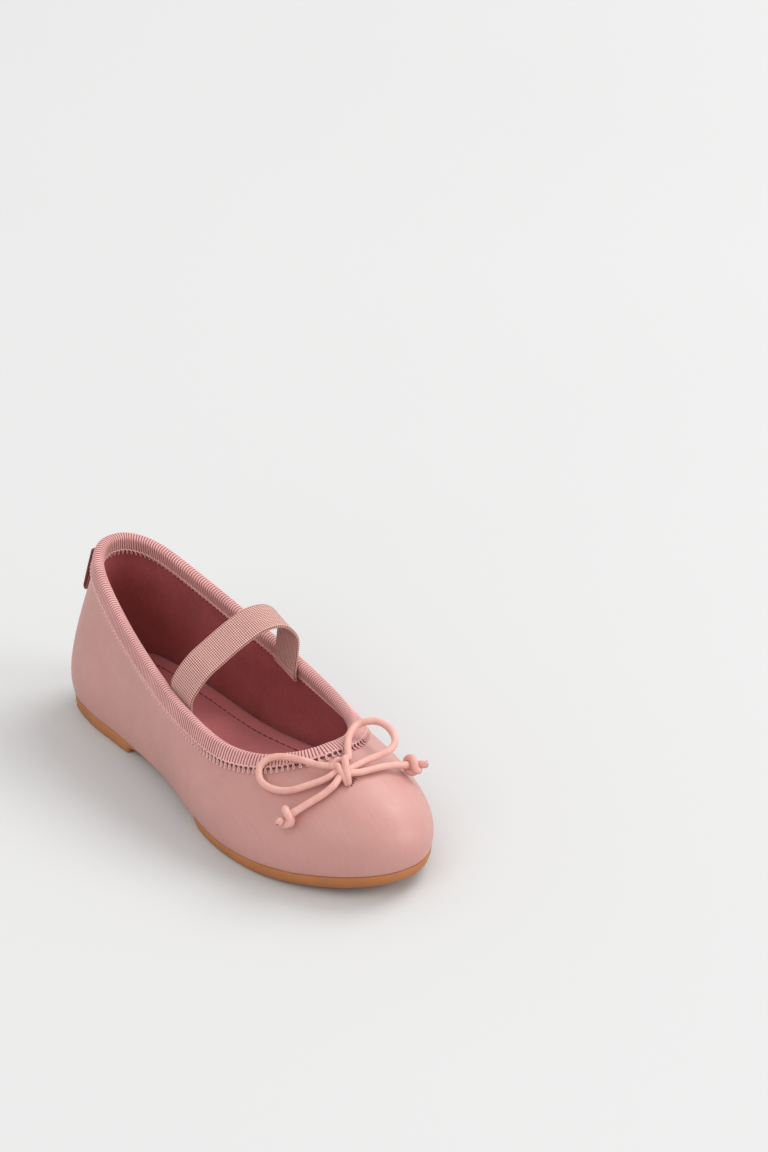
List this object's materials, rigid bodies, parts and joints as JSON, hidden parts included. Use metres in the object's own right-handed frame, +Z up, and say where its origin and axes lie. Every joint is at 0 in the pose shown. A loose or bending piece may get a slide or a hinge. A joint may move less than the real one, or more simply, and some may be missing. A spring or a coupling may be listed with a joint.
{
  "type": "ballet slipper",
  "caption": "Child's soft ballerina shoe for the right foot, with an elastic instep strap, ribbed topline binding and a small cord bow.",
  "frame": {"origin": "middle of the flat heel tread, where the heel rests on the ground", "axes": "+X from heel to toe, +Y to the inner (medial) side of the right foot, +Z up"},
  "size_m": [0.1751, 0.0649, 0.0596],
  "materials": {
    "upper": "smooth satin imitation leather",
    "lining": "matt brushed fabric",
    "binding": "ribbed woven tape",
    "stiffener": "impregnated fibre sheet",
    "outsole": "matt moulded rubber",
    "foam": "soft foam sheet",
    "board": "insole fibreboard",
    "insock": "matt soft imitation suede",
    "elastic": "ribbed woven elastic",
    "cord": "round elastic cord"
  },
  "bodies": {
    "rear": {"upper_quarters": "upper", "upper_crease_lateral": "upper", "upper_crease_medial": "upper", "lining_quarters": "lining", "lining_crease_lateral": "lining", "lining_crease_medial": "lining", "binding_quarters": "binding", "binding_crease_lateral": "binding", "binding_crease_medial": "binding", "heel_counter": "stiffener", "outsole_rear": "outsole", "shank_board": "board", "insole_board_rear": "board", "insock_foam_rear": "foam", "insock_rear": "insock", "strap_end_lateral": "elastic", "strap_end_medial": "elastic"},
    "forefoot": {"upper_vamp": "upper", "lining_vamp": "lining", "binding_throat": "binding", "toe_puff": "stiffener", "outsole_forefoot": "outsole", "forefoot_filler": "foam", "insole_board_forefoot": "board", "insock_foam_forefoot": "foam", "insock_forefoot": "insock", "bow_knot": "cord"},
    "strap": {"elastic_strap": "elastic"},
    "pull_tab": {"pull_tab": "binding"},
    "loop_lateral": {"bow_loop_lateral": "cord"},
    "loop_medial": {"bow_loop_medial": "cord"},
    "tail_lateral": {"bow_tail_lateral": "cord", "tail_knot_lateral": "cord"},
    "tail_medial": {"bow_tail_medial": "cord", "tail_knot_medial": "cord"}
  },
  "joints": [
    {"name": "toe_flex", "type": "hinge", "parent": "rear", "child": "forefoot", "pos_m": [0.088, 0, 0.0099], "axis": [0, -1, 0], "range_deg": [0, 30], "stiffness_Nm_per_rad": 0.3, "deforming": ["upper_crease_lateral", "upper_crease_medial", "lining_crease_lateral", "lining_crease_medial", "binding_crease_lateral", "binding_crease_medial"]},
    {"name": "strap_swing", "type": "hinge", "parent": "rear", "child": "strap", "pos_m": [0.054, 0, 0.0352], "axis": [0, 1, 0], "range_deg": [-12, 30], "stiffness_Nm_per_rad": 0.004},
    {"name": "pull_tab_lift", "type": "hinge", "parent": "rear", "child": "pull_tab", "pos_m": [-0.0205, 0, 0.0525], "axis": [0, 1, 0], "range_deg": [0, 100], "stiffness_Nm_per_rad": 0.0005},
    {"name": "loop_lateral_lift", "type": "hinge", "parent": "forefoot", "child": "loop_lateral", "pos_m": [0.1192, -0.0058, 0.0356], "axis": [-1, 0, 0], "range_deg": [0, 40], "stiffness_Nm_per_rad": 0.0005},
    {"name": "loop_medial_lift", "type": "hinge", "parent": "forefoot", "child": "loop_medial", "pos_m": [0.1195, 0.001, 0.0361], "axis": [1, 0, 0], "range_deg": [0, 40], "stiffness_Nm_per_rad": 0.0005},
    {"name": "tail_lateral_lift", "type": "hinge", "parent": "forefoot", "child": "tail_lateral", "pos_m": [0.1228, -0.0061, 0.0345], "axis": [-1, 0, 0], "range_deg": [0, 30], "stiffness_Nm_per_rad": 0.0005},
    {"name": "tail_medial_lift", "type": "hinge", "parent": "forefoot", "child": "tail_medial", "pos_m": [0.1238, 0.001, 0.0344], "axis": [1, 0, 0], "range_deg": [0, 12], "stiffness_Nm_per_rad": 0.0005}
  ]
}
